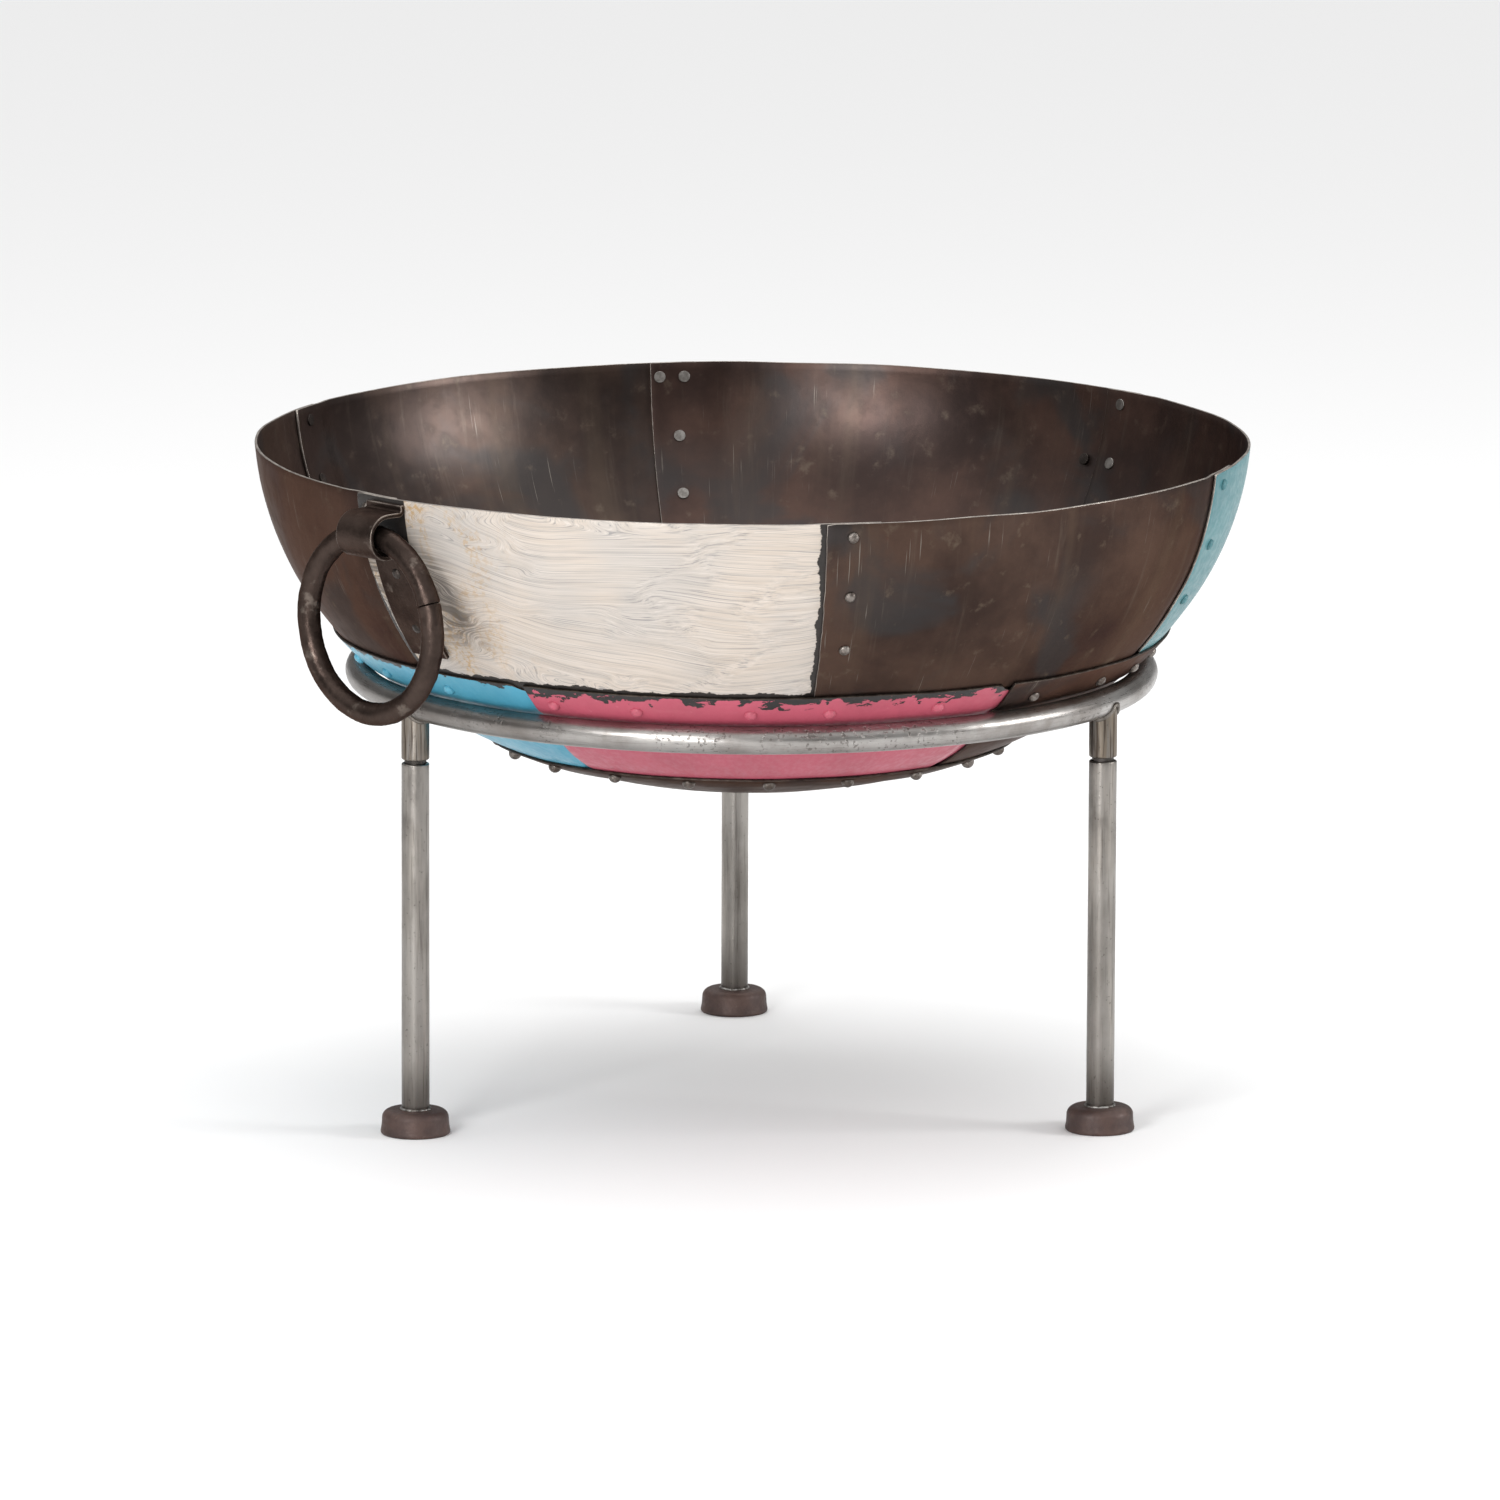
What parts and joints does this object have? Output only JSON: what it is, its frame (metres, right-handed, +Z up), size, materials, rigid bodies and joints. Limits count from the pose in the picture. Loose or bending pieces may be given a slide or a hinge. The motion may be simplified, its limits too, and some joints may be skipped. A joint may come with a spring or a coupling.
{
  "type": "fire bowl on stand",
  "caption": "Wide round fire bowl riveted from painted and bare sheet steel, with ring handles, lying loose in a low three-legged ring stand.",
  "frame": {"origin": "on the ground, on the common axis of the bowl and the stand", "axes": "+Z up; -Y is the front, midway between two legs; one handle is at front left and the other at back right"},
  "size_m": [0.8036, 0.8041, 0.5364],
  "materials": {
    "cream_paint": "worn brushed paint on sheet steel",
    "turquoise_paint": "old gloss paint on sheet steel",
    "pink_paint": "old matt paint on sheet steel",
    "blue_paint": "old gloss paint on sheet steel",
    "brown_steel": "heat-darkened, oiled sheet steel",
    "grey_steel": "bare mill-scale tube",
    "bright_steel": "bare brushed tube with small pits",
    "forged_iron": "dark forged bar and strap",
    "cast_iron": "dark red-brown cast pucks"
  },
  "bodies": {
    "stand": {"stand_ring": "bright_steel", "leg_stub_1": "grey_steel", "leg_stub_2": "grey_steel", "leg_stub_3": "grey_steel", "leg_spigot_1": "grey_steel", "leg_spigot_2": "grey_steel", "leg_spigot_3": "grey_steel"},
    "bowl": {"upper_plate_1": "cream_paint", "upper_plate_2": "brown_steel", "upper_plate_3": "turquoise_paint", "upper_plate_4": "brown_steel", "upper_plate_5": "brown_steel", "upper_plate_6": "brown_steel", "middle_plate_1": "pink_paint", "middle_plate_2": "brown_steel", "middle_plate_3": "brown_steel", "middle_plate_4": "brown_steel", "middle_plate_5": "blue_paint", "bottom_dish": "brown_steel", "seam_1_rivet_1": "brown_steel", "seam_2_rivet_1": "brown_steel", "seam_2_rivet_2": "brown_steel", "seam_2_rivet_3": "brown_steel", "seam_3_rivet_1": "brown_steel", "seam_3_rivet_2": "brown_steel", "seam_3_rivet_3": "brown_steel", "seam_4_rivet_1": "brown_steel", "seam_4_rivet_2": "brown_steel", "seam_4_rivet_3": "brown_steel", "seam_5_rivet_1": "brown_steel", "seam_5_rivet_2": "brown_steel", "seam_5_rivet_3": "brown_steel", "seam_5_rivet_4": "brown_steel", "seam_6_rivet_1": "brown_steel", "seam_6_rivet_2": "brown_steel", "seam_6_rivet_3": "brown_steel", "strap_1_rivet_1": "brown_steel", "strap_1_rivet_2": "brown_steel", "strap_2_rivet_1": "brown_steel", "strap_2_rivet_2": "brown_steel", "handle_strap_1": "forged_iron", "handle_strap_2": "forged_iron"},
    "leg_1": {"leg_tube_1": "grey_steel", "foot_1": "cast_iron"},
    "leg_2": {"leg_tube_2": "grey_steel", "foot_2": "cast_iron"},
    "leg_3": {"leg_tube_3": "grey_steel", "foot_3": "cast_iron"},
    "handle_1": {"handle_ring_1": "forged_iron"},
    "handle_2": {"handle_ring_2": "forged_iron"}
  },
  "joints": [
    {"name": "bowl_lift", "type": "slide", "parent": "stand", "child": "bowl", "axis": [0, 0, 1], "range_m": [0, 0.3]},
    {"name": "leg_1_pull", "type": "slide", "parent": "stand", "child": "leg_1", "axis": [0, 0, -1], "range_m": [0, 0.06]},
    {"name": "leg_2_pull", "type": "slide", "parent": "stand", "child": "leg_2", "axis": [0, 0, -1], "range_m": [0, 0.06]},
    {"name": "leg_3_pull", "type": "slide", "parent": "stand", "child": "leg_3", "axis": [0, 0, -1], "range_m": [0, 0.06]},
    {"name": "handle_1_swing", "type": "hinge", "parent": "bowl", "child": "handle_1", "pos_m": [-0.31199, -0.28043, 0.507], "axis": [-0.6685, 0.7437, 0], "range_deg": [-26, 190]},
    {"name": "handle_2_swing", "type": "hinge", "parent": "bowl", "child": "handle_2", "pos_m": [0.31199, 0.28043, 0.507], "axis": [0.6685, -0.7437, 0], "range_deg": [-26, 190]}
  ]
}
